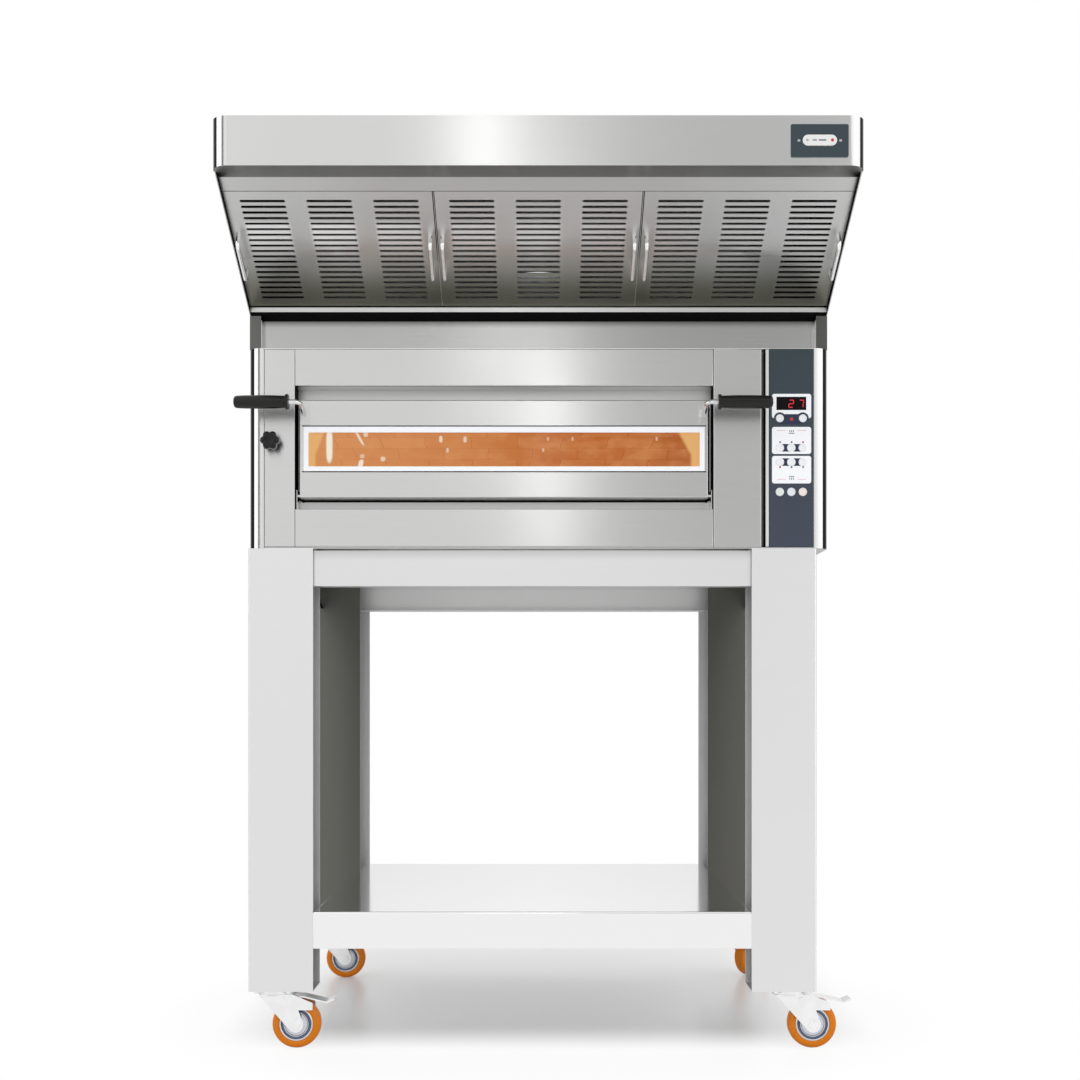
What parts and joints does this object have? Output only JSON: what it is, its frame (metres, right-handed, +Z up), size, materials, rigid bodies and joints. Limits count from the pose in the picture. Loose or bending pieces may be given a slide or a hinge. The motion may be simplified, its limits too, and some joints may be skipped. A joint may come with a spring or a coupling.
{
  "type": "pizza oven",
  "caption": "Electric deck pizza oven with a windowed drop-down door, an extraction hood with slotted filters above, and an open stand with a shelf on castors.",
  "frame": {"origin": "on the floor, at the middle of the whole outline seen from above", "axes": "+X to the right seen from the front, +Y to the rear, +Z up; the door and the hood face -Y"},
  "size_m": [1.2504, 1.3306, 1.818],
  "materials": {
    "board": "circuit board",
    "chamber_steel": "heat-tinted steel",
    "control": "slate blue-grey",
    "display": "dark window",
    "element": "dark sheath",
    "galvanised": "galvanised",
    "gland": "black",
    "glass": "clear",
    "grip": "black, slightly glossy",
    "key": "pale",
    "polished": "polished rod",
    "rocker": "white",
    "stand": "light satin stainless steel",
    "steel": "horizontally brushed stainless steel",
    "stone": "fired clay",
    "trim": "pale satin",
    "tyre": "cast polyurethane",
    "wool": "mineral wool",
    "zinc": "bright zinc"
  },
  "bodies": {
    "root": {"stand_legs": "stand", "stand_rails": "stand", "stand_shelf": "stand", "castor_plates": "zinc", "castor_bolts": "zinc", "oven_side_panels": "steel", "oven_top_cover": "steel", "oven_base": "steel", "oven_rear_panel": "steel", "power_gland": "gland", "oven_fascia": "steel", "chamber_liner": "chamber_steel", "deck_stones": "stone", "heating_elements": "element", "insulation": "wool", "chamber_lamp": "glass", "flue_duct": "galvanised", "control_panel": "control", "display_window": "display", "control_board": "board", "door_hinges": "polished", "hood_canopy": "steel", "hood_front_band": "steel", "hood_lower_panel": "steel", "hood_control_plate": "control", "blower_housing": "galvanised"},
    "door": {"door_panel": "steel", "door_liner": "steel", "door_glass": "glass", "window_trim": "trim", "handle_arms": "polished", "handle_grips": "grip"},
    "vent_pull": {"vent_rod": "polished", "vent_knob": "grip"},
    "swivel_front_left": {"castor_fork_front_left": "zinc"},
    "wheel_front_left": {"castor_wheel_front_left": "tyre"},
    "brake_front_left": {"castor_brake_front_left": "zinc"},
    "swivel_front_right": {"castor_fork_front_right": "zinc"},
    "wheel_front_right": {"castor_wheel_front_right": "tyre"},
    "brake_front_right": {"castor_brake_front_right": "zinc"},
    "swivel_rear_left": {"castor_fork_rear_left": "zinc"},
    "wheel_rear_left": {"castor_wheel_rear_left": "tyre"},
    "swivel_rear_right": {"castor_fork_rear_right": "zinc"},
    "wheel_rear_right": {"castor_wheel_rear_right": "tyre"},
    "key_display_left": {"key_display_left": "key"},
    "key_display_right": {"key_display_right": "key"},
    "key_upper_1": {"key_upper_1": "key"},
    "key_upper_2": {"key_upper_2": "key"},
    "key_upper_3": {"key_upper_3": "key"},
    "key_lower_1": {"key_lower_1": "key"},
    "key_lower_2": {"key_lower_2": "key"},
    "key_lower_3": {"key_lower_3": "key"},
    "key_base_1": {"key_base_1": "key"},
    "key_base_2": {"key_base_2": "key"},
    "key_base_3": {"key_base_3": "key"},
    "hood_switch": {"hood_switch": "rocker"},
    "filter_left": {"filter_left": "steel"},
    "filter_centre": {"filter_centre": "steel"},
    "filter_right": {"filter_right": "steel"},
    "impeller": {"blower_impeller": "galvanised"}
  },
  "joints": [
    {"name": "door_hinge", "type": "hinge", "parent": "root", "child": "door", "pos_m": [-0.08775, -0.26275, 1.135], "axis": [1, 0, 0], "range_deg": [0, 90]},
    {"name": "vent_slide", "type": "slide", "parent": "root", "child": "vent_pull", "axis": [0, -1, 0], "range_m": [0, 0.05]},
    {"name": "swivel_front_left", "type": "hinge", "parent": "root", "child": "swivel_front_left", "pos_m": [-0.56175, -0.23475, 0.11], "axis": [0, 0, 1], "continuous": true},
    {"name": "wheel_front_left", "type": "hinge", "parent": "swivel_front_left", "child": "wheel_front_left", "pos_m": [-0.51675, -0.23475, 0.05], "axis": [0, 1, 0], "continuous": true},
    {"name": "brake_front_left", "type": "hinge", "parent": "swivel_front_left", "child": "brake_front_left", "pos_m": [-0.54175, -0.23475, 0.104], "axis": [0, 1, 0], "range_deg": [0, 8]},
    {"name": "swivel_front_right", "type": "hinge", "parent": "root", "child": "swivel_front_right", "pos_m": [0.50125, -0.23475, 0.11], "axis": [0, 0, 1], "continuous": true},
    {"name": "wheel_front_right", "type": "hinge", "parent": "swivel_front_right", "child": "wheel_front_right", "pos_m": [0.54625, -0.23475, 0.05], "axis": [0, 1, 0], "continuous": true},
    {"name": "brake_front_right", "type": "hinge", "parent": "swivel_front_right", "child": "brake_front_right", "pos_m": [0.52125, -0.23475, 0.104], "axis": [0, 1, 0], "range_deg": [0, 8]},
    {"name": "swivel_rear_left", "type": "hinge", "parent": "root", "child": "swivel_rear_left", "pos_m": [-0.56175, 0.58925, 0.11], "axis": [0, 0, 1], "continuous": true},
    {"name": "wheel_rear_left", "type": "hinge", "parent": "swivel_rear_left", "child": "wheel_rear_left", "pos_m": [-0.51675, 0.58925, 0.05], "axis": [0, 1, 0], "continuous": true},
    {"name": "swivel_rear_right", "type": "hinge", "parent": "root", "child": "swivel_rear_right", "pos_m": [0.50125, 0.58925, 0.11], "axis": [0, 0, 1], "continuous": true},
    {"name": "wheel_rear_right", "type": "hinge", "parent": "swivel_rear_right", "child": "wheel_rear_right", "pos_m": [0.53572, 0.61818, 0.05], "axis": [-0.6428, 0.766, 0], "continuous": true},
    {"name": "key_display_left_press", "type": "slide", "parent": "root", "child": "key_display_left", "axis": [0, 1, 0], "range_m": [0, 0.001], "stiffness_N_per_m": 800},
    {"name": "key_display_right_press", "type": "slide", "parent": "root", "child": "key_display_right", "axis": [0, 1, 0], "range_m": [0, 0.001], "stiffness_N_per_m": 800},
    {"name": "key_upper_1_press", "type": "slide", "parent": "root", "child": "key_upper_1", "axis": [0, 1, 0], "range_m": [0, 0.001], "stiffness_N_per_m": 800},
    {"name": "key_upper_2_press", "type": "slide", "parent": "root", "child": "key_upper_2", "axis": [0, 1, 0], "range_m": [0, 0.001], "stiffness_N_per_m": 800},
    {"name": "key_upper_3_press", "type": "slide", "parent": "root", "child": "key_upper_3", "axis": [0, 1, 0], "range_m": [0, 0.001], "stiffness_N_per_m": 800},
    {"name": "key_lower_1_press", "type": "slide", "parent": "root", "child": "key_lower_1", "axis": [0, 1, 0], "range_m": [0, 0.001], "stiffness_N_per_m": 800},
    {"name": "key_lower_2_press", "type": "slide", "parent": "root", "child": "key_lower_2", "axis": [0, 1, 0], "range_m": [0, 0.001], "stiffness_N_per_m": 800},
    {"name": "key_lower_3_press", "type": "slide", "parent": "root", "child": "key_lower_3", "axis": [0, 1, 0], "range_m": [0, 0.001], "stiffness_N_per_m": 800},
    {"name": "key_base_1_press", "type": "slide", "parent": "root", "child": "key_base_1", "axis": [0, 1, 0], "range_m": [0, 0.001], "stiffness_N_per_m": 800},
    {"name": "key_base_2_press", "type": "slide", "parent": "root", "child": "key_base_2", "axis": [0, 1, 0], "range_m": [0, 0.001], "stiffness_N_per_m": 800},
    {"name": "key_base_3_press", "type": "slide", "parent": "root", "child": "key_base_3", "axis": [0, 1, 0], "range_m": [0, 0.001], "stiffness_N_per_m": 800},
    {"name": "hood_switch_tip", "type": "hinge", "parent": "root", "child": "hood_switch", "pos_m": [0.48775, -0.65475, 1.722], "axis": [0, 0, 1], "range_deg": [-4, 4]},
    {"name": "filter_left_lift_out", "type": "slide", "parent": "root", "child": "filter_left", "axis": [0, -0.4483, -0.8939], "range_m": [0, 0.08]},
    {"name": "filter_centre_lift_out", "type": "slide", "parent": "root", "child": "filter_centre", "axis": [0, -0.4483, -0.8939], "range_m": [0, 0.08]},
    {"name": "filter_right_lift_out", "type": "slide", "parent": "root", "child": "filter_right", "axis": [0, -0.4483, -0.8939], "range_m": [0, 0.08]},
    {"name": "impeller_spin", "type": "hinge", "parent": "root", "child": "impeller", "pos_m": [-0.01775, 0.46725, 1.6], "axis": [0, 1, 0], "continuous": true}
  ]
}
